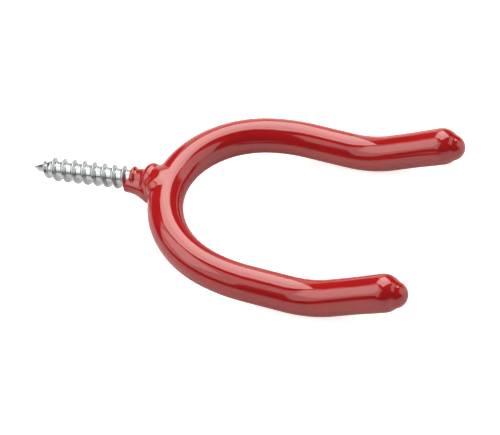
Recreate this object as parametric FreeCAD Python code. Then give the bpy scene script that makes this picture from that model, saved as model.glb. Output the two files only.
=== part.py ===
"""A garage utility hook: a lag screw welded to the back of a U-shaped steel fork, dipped in red vinyl.

Millimetres. The origin is on the screw's axis where the vinyl starts, which is the face of the wall when the
hook is driven home. +X points out of the wall along the screw's axis, +Y to the side and +Z up.
"""

import FreeCAD, Part
import os
from math import atan2, cos, degrees, pi, radians, sin, tan

from FreeCAD import Rotation, Vector

# Lag screw: a coarse wood thread on a thin core, with a gimlet point that the thread grows from
thread_diameter = 6.35
core_diameter = 4.5
pitch = 2.92
crest_land = 0.35
flank_angle = 30.0
bare_length = 27.8
point_length = 5.5
thread_start = 2.0
first_crest = 3.2
first_crest_diameter = 4.0
full_thread = 6.2
run_out = 4.5
plain_core = 1.23

# Fork: one round rod bent to a U, its two prongs bent up again, welded on with its plane drooping
rod_diameter = 7.94
back_radius = 26.0
back_angle = 74.0
side_radius = 39.0
side_length = 11.0
rise_radius = 25.0
rise_angle = 27.0
prong_length = 18.0
end_chamfer = 0.9
fork_droop = 10.0

# Weld: a ring of bead round the screw, run into the rod
bead_radius = 1.4
bead_height = 0.5
collar_drop = 0.65

# Vinyl dip coat: one skin thickness, thinner on the thread, fuller at the prong ends
skin = 0.7
lip_film = 0.12
lip_slant = 1.8
ridge_cover = 2.0
valley_place = 3.3
web_radius = 3.0
end_film = 1.5
dome_height = 3.2
dome_shoulder = 2.4
end_swell = 0.25
swell_length = 9.0
drip_diameter = 5.0
drip_height = 1.75

# How the thread is drawn: points a turn on the tapered helix, arcs round the crest, and overlap into the core
turn_points = 16
crest_arcs = 12
root_overlap = 0.1

thread_radius = thread_diameter / 2
core_radius = core_diameter / 2
rod_radius = rod_diameter / 2
skin_radius = rod_radius + skin
neck_length = run_out + plain_core + 2 * bead_radius + rod_radius
dome_start = prong_length + end_film - dome_height
screw_tip = -bare_length
axis = Vector(1, 0, 0)
side = Vector(0, 1, 0)
up = Vector(0, 0, 1)
origin = Vector(0, 0, 0)
fork_back = Vector(neck_length, 0, 0)


def turned(edges):
    """The solid that a closed outline in the XZ plane makes when it is turned about the screw's axis."""
    return Part.Face(Part.Wire(edges)).revolve(origin, axis, 360)


def corner_points(corners):
    """Points in the XZ plane from corners, each a place along the axis and a radius."""
    return [Vector(x, 0, r) for x, r in corners]


def turned_corners(corners):
    """A turned solid from the corners of its outline."""
    points = corner_points(corners)
    return turned(Part.makePolygon(points + points[:1]).Edges)


def rounding(centre, radius, first, last):
    """An arc of a turned outline, about a centre and between two directions measured from the axis."""
    x, r = centre
    turns = [radians(first + (last - first) * share) for share in (0, 0.5, 1)]
    points = corner_points([(x + radius * cos(turn), r + radius * sin(turn)) for turn in turns])
    return Part.Arc(*points).toShape()


def on_helix(depth, radius):
    """The point of the thread at this distance from the screw's tip, with one turn for each pitch."""
    angle = 2 * pi * depth / pitch
    return Vector(screw_tip + depth, radius * cos(angle), radius * sin(angle))


def ridge_along(path, start):
    """A sharp V ridge swept along the crest's path, from below the core's surface to above the crest."""
    out = Vector(0, start.y, start.z).normalize()
    above = crest_land / 2 / tan(radians(flank_angle))
    below = thread_radius - core_radius + root_overlap
    half_base = axis * ((above + below) * tan(radians(flank_angle)))
    foot = start - out * below
    corners = [start + out * above, foot + half_base, foot - half_base]
    sweep = Part.BRepOffsetAPI.MakePipeShell(Part.Wire(path))
    sweep.setBiNormalMode(axis)
    sweep.add(Part.makePolygon(corners + corners[:1]))
    sweep.build()
    sweep.makeSolid()
    return sweep.shape()


def crest_outline():
    """The crest over the point, as distances from the tip and radii: start, first crest and full height."""
    start_radius = thread_radius - core_radius + 2 * root_overlap
    return [
        (thread_start, start_radius),
        (first_crest, first_crest_diameter / 2),
        (full_thread, thread_radius),
    ]


def crest_radius(depth):
    """The crest's radius over the point at this distance from the tip, and past it on the same slope."""
    start, first, full = crest_outline()
    low, high = (start, first) if depth < first[0] else (first, full)
    return low[1] + (high[1] - low[1]) * (depth - low[0]) / (high[0] - low[0])


def point_ridge():
    """The tapered ridge, which climbs from the gimlet point to the full thread."""
    climb = full_thread - thread_start
    steps = round(climb / pitch * turn_points)
    depths = [thread_start + climb * i / steps for i in range(steps + 1)]
    path_points = [on_helix(depth, crest_radius(depth)) for depth in depths]
    helix = Part.BSplineCurve()
    helix.interpolate(path_points)
    return ridge_along(helix.toShape(), path_points[0]).common(point_blank())


def even_ridge(first_depth, last_depth, blank):
    """The full ridge between two distances from the tip, cut to its blank, in turns that meet end to end."""
    ridges = []
    depth = first_depth
    while last_depth - depth > root_overlap:
        height = min(pitch, last_depth - depth)
        start = on_helix(depth, thread_radius)
        helix = Part.makeHelix(pitch, height, thread_radius)
        helix.rotate(origin, axis + side + up, 120)
        helix.rotate(origin, axis, 360 * depth / pitch)
        helix.translate(Vector(start.x, 0, 0))
        ridges.append(ridge_along(helix.Edges, start).common(blank))
        depth += height
    return ridges


def point_blank():
    """The cones that the crest lies on over the point, half a land late so that no sliver is left."""
    depths = [depth for depth, _ in crest_outline()]
    depths[-1] += pitch
    slope = [(screw_tip + depth + crest_land / 2, crest_radius(depth)) for depth in depths]
    return turned_corners([(slope[0][0], 0)] + slope + [(slope[-1][0], 0)])


def shank_blank():
    """The cylinder of the full crest, from equal arcs, so that the crest is a row of short faces."""
    arcs = []
    for i in range(crest_arcs):
        turns = [2 * pi * (i + share) / crest_arcs for share in (0, 0.5, 1)]
        rim = [Vector(screw_tip, thread_radius * cos(turn), thread_radius * sin(turn)) for turn in turns]
        arcs.append(Part.Arc(*rim).toShape())
    return Part.Face(Part.Wire(arcs)).extrude(axis * (bare_length + pitch))


def run_out_blank():
    """The cone that the crest sinks along, from its full height at the wall's face to the core."""
    fall = (thread_radius - core_radius) / (run_out + crest_land)
    length = run_out + crest_land + pitch
    return Part.makeCone(core_radius + fall * length, core_radius, length, axis * (run_out - length), axis)


def lag_screw(rod):
    """The core with its gimlet cone and its thread, coped to the rod that it is butted against."""
    shank = [(screw_tip + point_length, core_radius), (neck_length, core_radius)]
    core = turned_corners([(screw_tip, 0)] + shank + [(neck_length, 0)])
    last_full = bare_length - crest_land / 2
    ridges = [point_ridge()]
    ridges += even_ridge(full_thread, last_full, shank_blank())
    ridges += even_ridge(last_full, bare_length + run_out, run_out_blank())
    return core.cut(rod).fuse(ridges)


def straight(start, heading, length):
    """A straight run, and where it ends."""
    end = start + heading * length
    return Part.LineSegment(start, end).toShape(), end


def bend(start, heading, inward, radius, angle):
    """An arc that leaves along heading and curves inward, with its end and its two directions there."""

    def at(turn):
        return start + heading * (radius * sin(turn)) + inward * (radius * (1 - cos(turn)))

    turn = radians(angle)
    arc = Part.Arc(at(0), at(turn / 2), at(turn)).toShape()
    return arc, at(turn), heading * cos(turn) + inward * sin(turn), inward * cos(turn) - heading * sin(turn)


def half_path(sense, end_length):
    """The rod's centre line from the back of the U to one prong's end, with that end and its heading."""
    back, place, heading, inward = bend(fork_back, side * sense, axis, back_radius, back_angle)
    flank, place, heading, inward = bend(place, heading, inward, side_radius, 90 - back_angle)
    run, place = straight(place, heading, side_length)
    rise, place, heading, inward = bend(place, heading, up, rise_radius, rise_angle)
    prong, place = straight(place, heading, end_length)
    return [back, flank, run, rise, prong], place, heading


def bar(radius, end_length):
    """A round bar along the whole fork, before it droops, with its seam on the inside of the U."""
    edges, end, heading = half_path(-1, end_length)
    path = Part.Wire(edges[::-1] + half_path(1, end_length)[0])
    rim = Part.makeCircle(radius, end, heading)
    rim.rotate(end, heading, 180)
    return path.makePipe(Part.Face(Part.Wire(rim)))


def drooped(shape):
    """The shape turned about the back of the U, as the fork is welded."""
    shape.rotate(fork_back, side, fork_droop)
    return shape


def fork_rod():
    """The bent rod, its sawn ends chamfered."""
    rod = bar(rod_radius, prong_length)
    ends = [half_path(sense, prong_length)[1] for sense in (-1, 1)]
    rims = [e for e in rod.Edges if min((e.CenterOfMass - end).Length for end in ends) < end_chamfer / 10]
    return drooped(rod.makeChamfer(end_chamfer, rims))


def bead_crown(cover=0.0):
    """The weld ring's crown, as a place along the axis and a radius, under a cover of this thickness."""
    return neck_length - rod_radius - bead_radius, core_radius + bead_height + bead_radius + cover


def weld_bead(rod):
    """The ring of weld, rounded towards the screw and running into the rod as a collar."""
    crown_x, crown_r = bead_crown()
    foot = (crown_x - bead_radius, crown_r - bead_radius)
    crown = rounding((crown_x, foot[1]), bead_radius, 180, 90)
    collar = [
        (crown_x, crown_r),
        (neck_length, crown_r - collar_drop),
        (neck_length, core_radius),
        (foot[0], core_radius),
        foot,
    ]
    return turned([crown] + Part.makePolygon(corner_points(collar)).Edges).cut(rod)


def neck_skin():
    """The vinyl round the screw's end and the weld, from its slanted lip to inside the tube of the fork."""
    crown_x, crown_r = bead_crown(skin)
    lip_radius = thread_radius + lip_film
    outline = [
        (0, lip_radius),
        (ridge_cover, lip_radius),
        (valley_place, core_radius + skin),
        (crown_x - bead_radius - skin / 2, core_radius + bead_height + skin),
        (crown_x, crown_r),
        (neck_length, crown_r - collar_drop),
    ]
    film = Part.BSplineCurve()
    film.interpolate(corner_points(outline))
    ends = corner_points([outline[-1], (neck_length, 0), (0, 0), outline[0]])
    neck = turned([film.toShape()] + Part.makePolygon(ends).Edges)
    knife = Part.makeBox(lip_slant * 2, lip_radius * 4, lip_radius * 4)
    knife.translate(Vector(-lip_slant * 2, -lip_radius * 2, -lip_radius))
    knife.rotate(Vector(0, 0, -lip_radius), side, degrees(atan2(lip_slant, 2 * lip_radius)))
    return neck.cut(knife)


def end_skin(sense):
    """The fuller vinyl on one prong's end: a swelling, a flattened dome, and the drip left on it.

    The hook drains hanging by its screw, so the drip is where the dome is lowest with the screw upright.
    """
    _, place, heading = half_path(sense, dome_start)
    swollen = skin_radius + end_swell
    inner = swollen - dome_shoulder
    cap_radius = (dome_height**2 + inner**2 - dome_shoulder**2) / (dome_height - dome_shoulder) / 2
    cap_place = dome_height - cap_radius
    meeting = degrees(atan2(inner, -cap_place))
    shoulder = rounding((0, inner), dome_shoulder, 90, meeting)
    cap = rounding((cap_place, 0), cap_radius, meeting, 0)
    sleeve = corner_points([(dome_height, 0), (-swell_length, 0), (-swell_length, skin_radius), (0, swollen)])
    dome = turned([shoulder, cap] + Part.makePolygon(sleeve).Edges)
    dome.Placement = FreeCAD.Placement(place, Rotation(axis, heading))
    down = axis * cos(radians(fork_droop)) + up * sin(radians(fork_droop))
    drip_radius = drip_diameter / 2
    drip_place = place + heading * cap_place + down * (cap_radius + drip_height - drip_radius)
    return dome.fuse(Part.makeSphere(drip_radius, drip_place))


def joint_edges(joined, one, other):
    """The edges of a fused solid that lie on the surfaces of both the pieces it was fused from."""
    found = []
    for edge in joined.Edges:
        middle = Part.Vertex(edge.valueAt((edge.FirstParameter + edge.LastParameter) / 2))
        gaps = [shape.Shells[0].distToShape(middle)[0] for shape in (one, other)]
        if max(gaps) < skin / 100:
            found.append(edge)
    return found


def vinyl_coating(steel):
    """The dip coat: tube, neck and prong ends in one skin, hollow where the steel is."""
    tube = drooped(bar(skin_radius, dome_start))
    neck = neck_skin()
    body = tube.fuse(neck)
    body = body.makeFillet(web_radius, joint_edges(body, tube, neck))
    return body.fuse([drooped(end_skin(sense)) for sense in (-1, 1)]).cut(steel)


rod = fork_rod()
screw = lag_screw(rod)
bead = weld_bead(rod)
pieces = {
    "fork_rod": rod,
    "lag_screw": screw,
    "weld_bead": bead,
    "vinyl_coating": vinyl_coating([rod, screw, bead]),
}
os.makedirs("parts", exist_ok=True)
for name, shape in pieces.items():
    shape.exportStep(f"parts/{name}.step")
    print(name, shape.isValid(), len(shape.Solids), len(shape.Faces), round(shape.Volume, 2), "mm3")
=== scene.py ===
"""The looks of a screw-in utility hook: zinc-plated lag screw, bent rod, weld and red vinyl dip coat."""

from math import cos, pi, radians, sin, tan

import bpy
import numpy as np
from mathutils import Matrix, Vector


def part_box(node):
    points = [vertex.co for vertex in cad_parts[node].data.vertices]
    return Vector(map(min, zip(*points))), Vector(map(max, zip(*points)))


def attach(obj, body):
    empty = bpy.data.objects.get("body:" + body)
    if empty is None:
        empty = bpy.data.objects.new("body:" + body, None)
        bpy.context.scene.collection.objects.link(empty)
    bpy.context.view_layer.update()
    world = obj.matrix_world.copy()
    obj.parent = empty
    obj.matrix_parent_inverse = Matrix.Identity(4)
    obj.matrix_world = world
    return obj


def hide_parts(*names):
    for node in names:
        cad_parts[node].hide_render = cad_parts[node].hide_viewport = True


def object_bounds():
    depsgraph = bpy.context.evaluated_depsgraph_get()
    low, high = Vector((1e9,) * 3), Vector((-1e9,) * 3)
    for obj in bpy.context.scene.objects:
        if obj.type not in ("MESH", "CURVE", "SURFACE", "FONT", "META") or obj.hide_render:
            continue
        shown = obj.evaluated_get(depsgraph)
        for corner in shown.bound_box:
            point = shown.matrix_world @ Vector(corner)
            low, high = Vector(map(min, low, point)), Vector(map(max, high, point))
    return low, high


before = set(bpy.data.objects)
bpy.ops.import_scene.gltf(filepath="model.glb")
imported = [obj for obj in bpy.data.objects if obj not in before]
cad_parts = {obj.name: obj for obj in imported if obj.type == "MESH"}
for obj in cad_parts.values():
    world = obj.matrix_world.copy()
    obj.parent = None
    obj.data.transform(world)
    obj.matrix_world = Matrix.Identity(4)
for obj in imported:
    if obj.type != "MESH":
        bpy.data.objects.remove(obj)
cad_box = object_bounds()

# The lag screw is steel wire with a rolled wood thread, cut to a gimlet point and plated with bright zinc.
# It is butt-welded to the back of the fork, and its last turns are under the vinyl. Its lengths and those of
# the coat are in millimetres.
MM = 0.001
TIP_X = -27.8
THREAD_RADIUS = 3.175
CORE_RADIUS = 2.25
PITCH = 2.92
CREST_LAND = 0.30
CREST_ROUND = 0.10
ROOT_ROUND = 0.30
LEAST_ROUND = 0.01
FLANK_SLOPE = 1 / tan(radians(30))
POINT_LENGTH = 5.5
CREST_OUTLINE = [(1.2, 0.55), (2.0, 1.12), (3.2, 2.0), (6.2, THREAD_RADIUS)]  # depth from the tip, radius
RUN_OUT = (0.0, 4.5)
SHANK_END = 8.6
FIRST_RING = 0.02
RING_STEP = 0.055
RING_POINTS = 96
NOISE_LOW, NOISE_HIGH = 0.3, 0.7
ZINC_CLOUD = 2.2
ZINC_GRAIN = 0.25  # the plating's crystals are finer, and are drawn this coarse so that they show


def mesh_piece(name, points, faces):
    """A smooth-shaded mesh object from points in millimetres, riding on the one body."""
    mesh = bpy.data.meshes.new(name)
    mesh.from_pydata([tuple(p) for p in np.asarray(points) * MM], [], [tuple(f) for f in faces])
    mesh.polygons.foreach_set("use_smooth", [True] * len(mesh.polygons))
    mesh.update()
    piece = bpy.data.objects.new(name, mesh)
    bpy.context.collection.objects.link(piece)
    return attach(piece, "root")


def ramp(value, start, end):
    """How far a value is from the start to the end, from 0 to 1."""
    return np.clip((value - start) / (end - start), 0, 1)


def soft_max(a, b, blend):
    """The larger of two values, with the corner between them rounded over this difference."""
    mix = np.clip(0.5 + (a - b) / blend / 2, 0, 1)
    return b + (a - b) * mix + blend * mix * (1 - mix)


def soft_min(a, b, blend):
    """The smaller of two values, with the corner between them rounded over this difference."""
    return -soft_max(-a, -b, blend)


def ridge_offset(x, angle):
    """How far along the axis a place lies from the nearest crest of the thread."""
    turns = (x - TIP_X) / PITCH - angle / (2 * pi)
    return (turns - np.round(turns)) * PITCH


def screw_radius(x, angle):
    """The screw's radius at a place along its axis and an angle round it."""
    depth = x - TIP_X
    core = CORE_RADIUS * ramp(depth, 0, POINT_LENGTH)
    depths, radii = zip(*CREST_OUTLINE)
    crest = np.where(depth < depths[0], core, np.interp(depth, depths, radii))
    crest = crest - (THREAD_RADIUS - CORE_RADIUS) * ramp(x, *RUN_OUT)
    away = np.abs(ridge_offset(x, angle)) - CREST_LAND / 2
    ridge = soft_min(crest, crest - away * FLANK_SLOPE, CREST_ROUND)
    root = np.minimum(ROOT_ROUND, core / 2 + LEAST_ROUND)
    return soft_max(ridge, core, root)


def lag_screw_mesh():
    """Rings of points from the gimlet point to the shank's end, closed at both ends."""
    count = int((SHANK_END - TIP_X) / RING_STEP)
    xs = np.linspace(TIP_X + FIRST_RING, SHANK_END, count)
    angles = np.arange(RING_POINTS) * 2 * pi / RING_POINTS
    x, angle = np.meshgrid(xs, angles, indexing="ij")
    r = screw_radius(x, angle)
    rings = np.stack([x, r * np.cos(angle), r * np.sin(angle)], 2).reshape(-1, 3)
    points = np.vstack([rings, [(TIP_X, 0, 0), (SHANK_END, 0, 0)]])
    faces = []
    for i in range(count - 1):
        for j in range(RING_POINTS):
            k = (j + 1) % RING_POINTS
            near, far = i * RING_POINTS, (i + 1) * RING_POINTS
            faces.append((near + j, near + k, far + k, far + j))
    first, last = len(rings), len(rings) + 1
    end = (count - 1) * RING_POINTS
    for j in range(RING_POINTS):
        k = (j + 1) % RING_POINTS
        faces.append((first, k, j))
        faces.append((last, end + j, end + k))
    return points, [face[::-1] for face in faces]


def linear(hex_colour):
    """A colour in linear light, with alpha 1, from an sRGB hex value such as #C8CCCE."""
    channels = [int(hex_colour[i : i + 2], 16) / 255 for i in (1, 3, 5)]
    return [c / 12.92 if c <= 0.04045 else ((c + 0.055) / 1.055) ** 2.4 for c in channels] + [1.0]


def add_node(tree, kind, inputs=None, **settings):
    """Adds a node with its settings and its inputs, by name or number: outputs are linked, values are set."""
    node = tree.nodes.new(kind)
    for name, value in settings.items():
        setattr(node, name, value)
    for name, value in (inputs or {}).items():
        if isinstance(value, bpy.types.NodeSocket):
            tree.links.new(value, node.inputs[name])
        else:
            node.inputs[name].default_value = value
    return node


def new_material(name):
    """An empty material, with its tree and its output node."""
    material = bpy.data.materials.new(name)
    material.use_nodes = True
    tree = material.node_tree
    tree.nodes.clear()
    return material, tree, add_node(tree, "ShaderNodeOutputMaterial")


def bright_zinc_plate():
    """Bright zinc on rolled steel: a cool pale metal, its shine a little cloudy, with a fine grain."""
    material, tree, output = new_material("bright zinc plate, clear passivated")
    place = add_node(tree, "ShaderNodeTexCoord")
    cloud = add_node(
        tree,
        "ShaderNodeTexNoise",
        {"Vector": place.outputs["Object"], "Scale": 1 / (ZINC_CLOUD * MM), "Detail": 4.0, "Roughness": 0.6},
    )
    tone = add_node(tree, "ShaderNodeValToRGB", {"Fac": cloud.outputs["Fac"]})
    tone.color_ramp.elements[0].position = NOISE_LOW
    tone.color_ramp.elements[0].color = linear("#A8AEB2")
    tone.color_ramp.elements[1].position = NOISE_HIGH
    tone.color_ramp.elements[1].color = linear("#C8CED1")
    dull = add_node(
        tree,
        "ShaderNodeMapRange",
        {
            "Value": cloud.outputs["Fac"],
            "From Min": NOISE_LOW,
            "From Max": NOISE_HIGH,
            "To Min": 0.30,
            "To Max": 0.22,
        },
    )
    grain = add_node(
        tree,
        "ShaderNodeTexNoise",
        {"Vector": place.outputs["Object"], "Scale": 1 / (ZINC_GRAIN * MM), "Detail": 2.0, "Roughness": 0.5},
    )
    bump = add_node(
        tree, "ShaderNodeBump", {"Height": grain.outputs["Fac"], "Strength": 0.25, "Distance": 0.02 * MM}
    )
    shader = add_node(
        tree,
        "ShaderNodeBsdfPrincipled",
        {
            "Base Color": tone.outputs["Color"],
            "Metallic": 1.0,
            "Roughness": dull.outputs["Result"],
            "Normal": bump.outputs["Normal"],
        },
    )
    tree.links.new(shader.outputs["BSDF"], output.inputs["Surface"])
    return material


lag_screw = mesh_piece("lag_screw_thread", *lag_screw_mesh())
lag_screw.data.materials.append(bright_zinc_plate())
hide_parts("lag_screw")

# The fork is cold-drawn round bar, bent to a U with its prongs turned up. The vinyl hides all of it, so the
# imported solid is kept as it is.
OIL_PATCH = 6


def drawn_bar_steel():
    """Bare drawn bar: grey steel with a satin drawn surface and a few darker patches of oil."""
    material, tree, output = new_material("cold-drawn bar steel, bare")
    place = add_node(tree, "ShaderNodeTexCoord")
    patches = add_node(
        tree,
        "ShaderNodeTexNoise",
        {"Vector": place.outputs["Object"], "Scale": 1 / (OIL_PATCH * MM), "Detail": 3.0},
    )
    tone = add_node(tree, "ShaderNodeValToRGB", {"Fac": patches.outputs["Fac"]})
    tone.color_ramp.elements[0].color = linear("#8C8D8F")
    tone.color_ramp.elements[1].color = linear("#B4B5B7")
    shader = add_node(
        tree,
        "ShaderNodeBsdfPrincipled",
        {"Base Color": tone.outputs["Color"], "Metallic": 1.0, "Roughness": 0.4},
    )
    tree.links.new(shader.outputs["BSDF"], output.inputs["Surface"])
    return material


fork_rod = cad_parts["fork_rod"]
fork_rod.data.materials.clear()
fork_rod.data.materials.append(drawn_bar_steel())

# The weld is one run of steel bead round the screw, laid where it meets the back of the fork. The vinyl hides
# it too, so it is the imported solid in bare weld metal.
HEAT_TINT = 1.5


def weld_steel():
    """As-welded steel: darker and rougher than the bar, with brown and blue heat tint in soft patches."""
    material, tree, output = new_material("weld bead, as welded")
    place = add_node(tree, "ShaderNodeTexCoord")
    tint = add_node(
        tree,
        "ShaderNodeTexNoise",
        {"Vector": place.outputs["Object"], "Scale": 1 / (HEAT_TINT * MM), "Detail": 2.0},
    )
    tone = add_node(tree, "ShaderNodeValToRGB", {"Fac": tint.outputs["Fac"]})
    tone.color_ramp.elements[0].color = linear("#5A5148")
    tone.color_ramp.elements[1].color = linear("#85858C")
    shader = add_node(
        tree,
        "ShaderNodeBsdfPrincipled",
        {"Base Color": tone.outputs["Color"], "Metallic": 1.0, "Roughness": 0.6},
    )
    tree.links.new(shader.outputs["BSDF"], output.inputs["Surface"])
    return material


weld_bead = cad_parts["weld_bead"]
weld_bead.data.materials.clear()
weld_bead.data.materials.append(weld_steel())

# The coat is plasticised vinyl. The hot hook is dipped prongs first as far as its thread, drained hanging
# by its screw and cured, so the vinyl follows the weld's lump, swells at the prong ends and keeps a drip on
# each.

# The bar's centre line with its skin, from the back of the fork to where the round prong end starts.
FORK_BACK_X = 12.5
DROOP = radians(10)
BACK_RADIUS = 26.0
BACK_ANGLE = radians(74)
SIDE_RADIUS = 39.0
SIDE_LENGTH = 11.0
RISE_RADIUS = 25.0
RISE_ANGLE = radians(27)
PRONG_LENGTH = 14.95
SKIN_RADIUS = 4.655

# The swollen prong end and its drip.
END_SWELL = 0.18
SWELL_LENGTH = 9.0
DRIP_RADIUS = 3.45
DRIP_DROP = 2.65
DRIP_CREASE = 0.28

# The lip's place along the screw at each angle round it, in degrees.
LIP_PLACES = [(150, -0.10), (224, -0.12), (300, 0.30), (404, 1.05), (497, 1.40), (510, -0.10)]
LIP_EDGE = 0.15

# The vinyl's radius at each place along the screw, over the top and in the fillet below.
NECK_TOP = [
    (-1, 2.62), (1.2, 2.70), (3.2, 2.85), (4.6, 2.98), (6.2, 3.6), (7.4, 4.34), (9.5, 4.30), (13.0, 3.9)
]
NECK_FILLET = [
    (-1, 3.75), (1.5, 3.95), (3.0, 4.35), (4.2, 4.9), (5.3, 5.55), (6.4, 6.1), (8.0, 6.2), (13.0, 3.9)
]
FILLET_ANGLE = radians(224)
FILLET_EDGE = 0.1
NECK_LEAN = 0.8

# The thread's ridge as it shows under the vinyl, fading out towards the weld.
COVERED_CREST = 3.32
COVERED_END = 2.6
COVERED_SLOPE = 0.95
COVERED_ROUND = 0.4
COVERED_FADE = (1.9, 3.5)
COVERED_BLEND = 0.4

# The weld's ring under the vinyl, and the web of vinyl from it to the near side of the fork.
WELD_PLACE = 7.05
WELD_RING = 3.05
WELD_RADIUS = 1.7
WELD_CREASE = 0.5
WEB_START = np.array([10.15, -1.2, 1.6])
WEB_HEADING = np.array([0.0, -1.0, 0.0])
WEB_LENGTH = 2.3
WEB_RADIUS = 3.2
WEB_BLEND = 1.2
JOINT_BLEND = 0.9

# The grid that the coat's surface is found on, and how its points are settled.
GRID_STEP = 0.3
GRID_MARGIN = 4
SLOPE_REACH = 0.01
LEAST_STEEPNESS = 0.2
SETTLING_STEPS = 6

VINYL_WAVE = 5


def eased(share):
    """A share from 0 to 1 that leaves 0 and reaches 1 without a corner."""
    return share * share * (3 - 2 * share)


def fork_axes(points):
    """Points as seen from the back of the fork: along it, away from its middle, and square to its plane."""
    x, z = points[:, 0] - FORK_BACK_X, points[:, 2]
    along = x * cos(DROOP) - z * sin(DROOP)
    square = x * sin(DROOP) + z * cos(DROOP)
    return np.stack([along, np.abs(points[:, 1]), square], 1)


def from_arc(p, centre, out, ahead, radius, first, last):
    """Distance from an arc that starts in the direction out and turns towards ahead."""
    q = p - centre
    turn = np.clip(np.arctan2(q @ ahead, q @ out), first, last)
    nearest = np.outer(np.cos(turn), out) + np.outer(np.sin(turn), ahead)
    return np.linalg.norm(q - radius * nearest, axis=1)


def from_line(p, start, heading, length):
    """Distance from a straight run."""
    q = p - start
    return np.linalg.norm(q - np.outer(np.clip(q @ heading, 0, length), heading), axis=1)


def centre_line():
    """The middle of the side's arc, the ends of that arc, the side and the rise, and the prong's heading."""
    ahead, aside, up = np.eye(3)
    inward = cos(BACK_ANGLE) * ahead - sin(BACK_ANGLE) * aside
    side_middle = BACK_RADIUS * ahead + (SIDE_RADIUS - BACK_RADIUS) * inward
    side_start = side_middle + SIDE_RADIUS * aside
    rise_start = side_start + SIDE_LENGTH * ahead
    rise_end = rise_start + RISE_RADIUS * (sin(RISE_ANGLE) * ahead + (1 - cos(RISE_ANGLE)) * up)
    heading = cos(RISE_ANGLE) * ahead + sin(RISE_ANGLE) * up
    return side_middle, side_start, rise_start, rise_end, heading


def tube_field(p):
    """Signed distance from the coated rod up to the swollen prong end, in the fork's axes."""
    ahead, aside, up = np.eye(3)
    side_middle, side_start, rise_start, rise_end, heading = centre_line()
    parts = [
        from_arc(p, BACK_RADIUS * ahead, -ahead, aside, BACK_RADIUS, 0, BACK_ANGLE),
        from_arc(p, side_middle, -ahead, aside, SIDE_RADIUS, BACK_ANGLE, pi / 2),
        from_line(p, side_start, ahead, SIDE_LENGTH),
        from_arc(p, rise_start + RISE_RADIUS * up, -up, ahead, RISE_RADIUS, 0, RISE_ANGLE),
        from_line(p, rise_end, heading, PRONG_LENGTH - SWELL_LENGTH),
    ]
    return np.minimum.reduce(parts) - SKIN_RADIUS


def end_field(p):
    """Signed distance from a prong's swollen round end and the drip that hung from it, in the fork's axes."""
    *_, rise_end, heading = centre_line()
    q = p - (rise_end + PRONG_LENGTH * heading)
    along = q @ heading
    across = np.linalg.norm(q - np.outer(along, heading), axis=1)
    sleeve = across - SKIN_RADIUS - END_SWELL * eased(ramp(along, -SWELL_LENGTH, 0))
    sleeve = np.maximum(sleeve, -SWELL_LENGTH - along)
    dome = np.linalg.norm(q, axis=1) - SKIN_RADIUS - END_SWELL
    end = np.where(along > 0, dome, sleeve)
    # The hook hangs by its screw to drain, so that the part's own +X is down.
    downward = np.array([cos(DROOP), 0, sin(DROOP)])
    drip = np.linalg.norm(q - DRIP_DROP * downward, axis=1) - DRIP_RADIUS
    return soft_min(end, drip, DRIP_CREASE)


def lip_place(angle):
    """How far along the screw the vinyl's edge lies: it follows the thread, then steps back one ridge."""
    degrees_round, places = zip(*LIP_PLACES)
    start = degrees_round[0]
    return np.interp((np.degrees(angle) - start) % 360 + start, degrees_round, places)


def neck_field(points):
    """Signed distance from the vinyl round the screw's end and the weld, down to its lip."""
    x, y, z = points.T
    across, angle = np.hypot(y, z), np.arctan2(z, y)
    share = eased(ramp(np.cos(angle - FILLET_ANGLE), FILLET_EDGE, 1))
    top = np.interp(x, *zip(*NECK_TOP))
    fillet = np.interp(x, *zip(*NECK_FILLET))
    crest = COVERED_CREST - ramp(x, *COVERED_FADE) * (COVERED_CREST - COVERED_END)
    away = np.hypot(ridge_offset(x, angle), COVERED_ROUND) - COVERED_ROUND
    ridge = crest - COVERED_SLOPE * away
    radius = soft_max(top + (fillet - top) * share, ridge, COVERED_BLEND)
    # The neck widens towards the fork, so that its surface is nearer than the difference of radii says.
    neck = np.maximum((across - radius) * NECK_LEAN, x - FORK_BACK_X)
    ring = np.hypot(x - WELD_PLACE, across - WELD_RING) - WELD_RADIUS
    neck = soft_min(neck, ring, WELD_CREASE)
    return soft_max(neck, lip_place(angle) - x, LIP_EDGE)


def coat_field(points):
    """Signed distance, in millimetres, from the outside of the whole coat."""
    p = fork_axes(points)
    fork = np.minimum(tube_field(p), end_field(p))
    web = from_line(points, WEB_START, WEB_HEADING, WEB_LENGTH) - WEB_RADIUS
    return soft_min(soft_min(fork, web, WEB_BLEND), neck_field(points), JOINT_BLEND)


def coat_grid():
    """The field's values on a grid round the coat, with the grid's first corner."""
    low, high = (np.array(corner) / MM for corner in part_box("vinyl_coating"))
    margin = GRID_MARGIN * GRID_STEP
    low, high = low - margin, high + margin
    axes = [np.arange(a, b, GRID_STEP) for a, b in zip(low, high)]
    values = np.empty([len(axis) for axis in axes])
    y, z = np.meshgrid(axes[1], axes[2], indexing="ij")
    for i, x in enumerate(axes[0]):
        slab = np.stack([np.full(y.size, x), y.ravel(), z.ravel()], 1)
        values[i] = coat_field(slab).reshape(y.shape)
    return values, low


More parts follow.
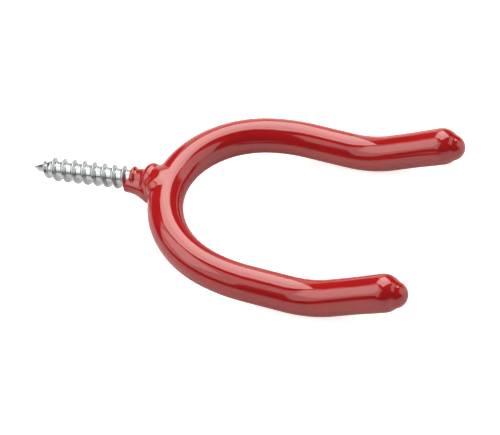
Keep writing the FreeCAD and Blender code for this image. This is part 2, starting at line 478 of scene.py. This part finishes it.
def coat_mesh():
    """A point settled on the surface for each grid cell it crosses, and a face for each edge it crosses."""
    values, low = coat_grid()
    inside = values < 0
    corners = [
        inside[i : inside.shape[0] - 1 + i, j : inside.shape[1] - 1 + j, k : inside.shape[2] - 1 + k]
        for i in (0, 1)
        for j in (0, 1)
        for k in (0, 1)
    ]
    count = sum(corner.astype(int) for corner in corners)
    crossed = (count > 0) & (count < len(corners))
    number = np.full(crossed.shape, -1)
    number[crossed] = np.arange(crossed.sum())
    points = low + (np.argwhere(crossed) + 0.5) * GRID_STEP
    faces = []
    for axis in range(3):
        b, c = (axis + 1) % 3, (axis + 2) % 3
        lower = np.take(inside, range(inside.shape[axis] - 1), axis)
        upper = np.take(inside, range(1, inside.shape[axis]), axis)
        for leaving in (True, False):
            edges = np.argwhere(lower & ~upper if leaving else upper & ~lower)
            cells = []
            for back, side in ((1, 1), (0, 1), (0, 0), (1, 0)):
                cell = edges.copy()
                cell[:, b] -= back
                cell[:, c] -= side
                cells.append(number[tuple(cell.T)])
            faces.append(np.stack(cells if leaving else cells[::-1], 1))
    return settled(points), np.vstack(faces)


def coat_slope(points, values):
    """Which way the field rises at each point, and how steeply."""
    rises = [coat_field(points + SLOPE_REACH * axis) - values for axis in np.eye(3)]
    return np.stack(rises, 1) / SLOPE_REACH


def settled(points):
    """The points moved onto the coat's surface along the field's slope, by a cell at most in each step."""
    for _ in range(SETTLING_STEPS):
        values = coat_field(points)
        slope = coat_slope(points, values)
        move = slope * (values / np.maximum((slope**2).sum(1), LEAST_STEEPNESS))[:, None]
        far = np.maximum(np.linalg.norm(move, axis=1) / GRID_STEP, 1)
        points = points - move / far[:, None]
    return points


def red_vinyl():
    """Plasticised vinyl as cured: deep red, slightly translucent, as glossy as wet paint, in faint waves."""
    material, tree, output = new_material("red plasticised vinyl, dipped and cured")
    place = add_node(tree, "ShaderNodeTexCoord")
    waves = add_node(
        tree,
        "ShaderNodeTexNoise",
        {"Vector": place.outputs["Object"], "Scale": 1 / (VINYL_WAVE * MM), "Detail": 1.0, "Roughness": 0.4},
    )
    tone = add_node(tree, "ShaderNodeValToRGB", {"Fac": waves.outputs["Fac"]})
    tone.color_ramp.elements[0].position = NOISE_LOW
    tone.color_ramp.elements[0].color = linear("#A61013")
    tone.color_ramp.elements[1].position = NOISE_HIGH
    tone.color_ramp.elements[1].color = linear("#AE1214")
    gloss = add_node(
        tree,
        "ShaderNodeMapRange",
        {
            "Value": waves.outputs["Fac"],
            "From Min": NOISE_LOW,
            "From Max": NOISE_HIGH,
            "To Min": 0.07,
            "To Max": 0.11,
        },
    )
    bump = add_node(
        tree, "ShaderNodeBump", {"Height": waves.outputs["Fac"], "Strength": 0.12, "Distance": 0.1 * MM}
    )
    shader = add_node(
        tree,
        "ShaderNodeBsdfPrincipled",
        {
            "Base Color": tone.outputs["Color"],
            "Roughness": gloss.outputs["Result"],
            "IOR": 1.53,
            "Specular IOR Level": 0.8,
            "Subsurface Weight": 0.3,
            "Subsurface Radius": (1.0, 0.12, 0.10),
            "Subsurface Scale": 1.2 * MM,
            "Normal": bump.outputs["Normal"],
        },
    )
    tree.links.new(shader.outputs["BSDF"], output.inputs["Surface"])
    return material


coat_points, coat_faces = coat_mesh()
vinyl_coat = mesh_piece("vinyl_dip_coat", coat_points, coat_faces)
coat_normals = coat_slope(coat_points, coat_field(coat_points))
coat_normals /= np.linalg.norm(coat_normals, axis=1)[:, None]
vinyl_coat.data.normals_split_custom_set_from_vertices([tuple(normal) for normal in coat_normals])
vinyl_coat.data.materials.append(red_vinyl())
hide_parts("vinyl_coating")

# The floor is a level sheet of white card at the height of the hook's lowest point. It is bright enough to
# read as plain white, and keeps only a trace of the hook's shadow.
FLOOR_SIZE = 3.0
CARD_MOTTLE = 40
CARD_GLOW = 0.80
MIRRORED_GLOW = 0.1


def white_card():
    """Matt white card, faintly mottled: plain white to the camera, and softly lit in reflections."""
    material, tree, output = new_material("matt white card")
    place = add_node(tree, "ShaderNodeTexCoord")
    mottle = add_node(
        tree,
        "ShaderNodeTexNoise",
        {"Vector": place.outputs["Object"], "Scale": 1 / (CARD_MOTTLE * MM), "Detail": 2.0},
    )
    tone = add_node(tree, "ShaderNodeValToRGB", {"Fac": mottle.outputs["Fac"]})
    tone.color_ramp.elements[0].color = linear("#DADADA")
    tone.color_ramp.elements[1].color = linear("#DEDEDE")
    card = add_node(tree, "ShaderNodeBsdfDiffuse", {"Color": tone.outputs["Color"]})
    path = add_node(tree, "ShaderNodeLightPath")
    mirrored = add_node(
        tree,
        "ShaderNodeMath",
        {0: path.outputs["Is Glossy Ray"], 1: path.outputs["Is Transmission Ray"]},
        operation="MAXIMUM",
    )
    faint = add_node(
        tree, "ShaderNodeMath", {0: mirrored.outputs[0], 1: MIRRORED_GLOW}, operation="MULTIPLY"
    )
    bright = add_node(
        tree, "ShaderNodeMath", {0: path.outputs["Is Camera Ray"], 1: CARD_GLOW}, operation="MULTIPLY"
    )
    share = add_node(tree, "ShaderNodeMath", {0: faint.outputs[0], 1: bright.outputs[0]}, operation="ADD")
    glow = add_node(tree, "ShaderNodeEmission", {"Color": linear("#FFFFFF"), "Strength": share.outputs[0]})
    both = add_node(tree, "ShaderNodeAddShader", {0: card.outputs[0], 1: glow.outputs[0]})
    tree.links.new(both.outputs[0], output.inputs["Surface"])
    return material


def floor_card():
    """A square of card round the hook."""
    half, level = FLOOR_SIZE / 2, cad_box[0].z
    mesh = bpy.data.meshes.new("floor_card")
    corners = [(-half, -half, level), (half, -half, level), (half, half, level), (-half, half, level)]
    mesh.from_pydata(corners, [], [(0, 1, 2, 3)])
    mesh.materials.append(white_card())
    card = bpy.data.objects.new("floor_card", mesh)
    bpy.context.collection.objects.link(card)
    return card


floor_card()

# Round it is a white surround, plain white to the camera. What mirrors it sees white near the horizon and a
# dim studio above, and all else gets a faint even light from it.
HORIZON_FOOT = 0.03
HORIZON_TOP = 0.10
HORIZON_GLOW = 0.9
STUDIO_DIM = 0.08
STUDIO_FILL = 0.10

world = bpy.data.worlds.new("white surround")
bpy.context.scene.world = world
world.use_nodes = True
surround = world.node_tree
surround.nodes.clear()
direction = add_node(surround, "ShaderNodeTexCoord")
height = add_node(surround, "ShaderNodeSeparateXYZ", {"Vector": direction.outputs["Generated"]})
studio = add_node(
    surround,
    "ShaderNodeMapRange",
    {
        "Value": height.outputs["Z"],
        "From Min": HORIZON_FOOT,
        "From Max": HORIZON_TOP,
        "To Min": HORIZON_GLOW,
        "To Max": STUDIO_DIM,
    },
)
path = add_node(surround, "ShaderNodeLightPath")
mirrored = add_node(
    surround,
    "ShaderNodeMath",
    {0: path.outputs["Is Glossy Ray"], 1: path.outputs["Is Transmission Ray"]},
    operation="MAXIMUM",
)
unlit = add_node(
    surround, "ShaderNodeMix", {0: mirrored.outputs[0], 2: STUDIO_FILL, 3: studio.outputs["Result"]}
)
strength = add_node(
    surround, "ShaderNodeMix", {0: path.outputs["Is Camera Ray"], 2: unlit.outputs[0], 3: 1.0}
)
white = add_node(
    surround, "ShaderNodeBackground", {"Color": linear("#FFFFFF"), "Strength": strength.outputs[0]}
)
add_node(surround, "ShaderNodeOutputWorld", {"Surface": white.outputs[0]})

# The studio's soft boxes stand a metre from the hook: a large one high behind it, one at the left front that
# is brighter in its middle, one at the right, and a tall narrow card behind.
HOOK_MIDDLE = Vector((0.030, 0.0, 0.0))
BOX_DISTANCE = 1.0


def soft_box(name, azimuth, elevation, turn, width, height, radiance):
    """A rectangular lamp that faces the hook, turned about its own middle, in degrees and metres.

    Azimuth 0 is on the hook's -Y side and 90 is on its +X side. Radiance is what a mirror shows of the lamp.
    """
    azimuth, elevation, turn = radians(azimuth), radians(elevation), radians(turn)
    towards = Vector((sin(azimuth) * cos(elevation), -cos(azimuth) * cos(elevation), sin(elevation)))
    level = Vector((cos(azimuth), sin(azimuth), 0))
    rise = towards.cross(level)
    wide = cos(turn) * level + sin(turn) * rise
    high = cos(turn) * rise - sin(turn) * level
    lamp = bpy.data.lights.new(name, "AREA")
    lamp.shape = "RECTANGLE"
    lamp.size, lamp.size_y = width, height
    lamp.energy = radiance * pi * width * height
    lamp.color = linear("#FFFAF3")[:3]
    box = bpy.data.objects.new(name, lamp)
    facing = Matrix((wide, high, towards)).transposed().to_4x4()
    box.matrix_world = Matrix.Translation(HOOK_MIDDLE + towards * BOX_DISTANCE) @ facing
    box.visible_camera = False
    bpy.context.collection.objects.link(box)


soft_box("overhead_soft_box", -178, 61.7, 58.5, 1.05, 0.99, 3.45)
soft_box("left_soft_box", -52, 45, 12, 1.32, 1.01, 1.25)
soft_box("left_soft_box_middle", -64, 49.5, -14, 0.74, 0.65, 1.15)
soft_box("right_soft_box", 110, 22.3, -6, 0.94, 0.71, 1.25)
soft_box("tall_card_behind", -163.6, 28.7, 20, 0.5, 1.6, 0.8)

# The camera is where the photograph was taken from, with a long lens and the same tilt. Its angles are
# measured as those of the soft boxes, and it looks at a point between the prongs.
CAMERA_AZIMUTH = radians(28.513)
CAMERA_ELEVATION = radians(43.072)
CAMERA_ROLL = radians(-13.306)
CAMERA_DISTANCE = 0.52972
CAMERA_TARGET = Vector((0.037615, -0.008807, 0.0))
CAMERA_LENS = 149.98
CAMERA_SENSOR = 36.0

ahead = -Vector(
    (
        sin(CAMERA_AZIMUTH) * cos(CAMERA_ELEVATION),
        -cos(CAMERA_AZIMUTH) * cos(CAMERA_ELEVATION),
        sin(CAMERA_ELEVATION),
    )
)
level_right = ahead.cross(Vector((0, 0, 1))).normalized()
level_up = level_right.cross(ahead)
right = cos(CAMERA_ROLL) * level_right + sin(CAMERA_ROLL) * level_up
upward = cos(CAMERA_ROLL) * level_up - sin(CAMERA_ROLL) * level_right
camera = bpy.data.objects.new("camera", bpy.data.cameras.new("camera"))
camera.data.lens = CAMERA_LENS
camera.data.sensor_width = CAMERA_SENSOR
camera.data.clip_start, camera.data.clip_end = 0.01, 10.0
turn = Matrix((right, upward, -ahead)).transposed()
camera.matrix_world = Matrix.Translation(CAMERA_TARGET - ahead * CAMERA_DISTANCE) @ turn.to_4x4()
bpy.context.collection.objects.link(camera)
bpy.context.scene.camera = camera
bpy.context.scene.view_settings.view_transform = "Standard"
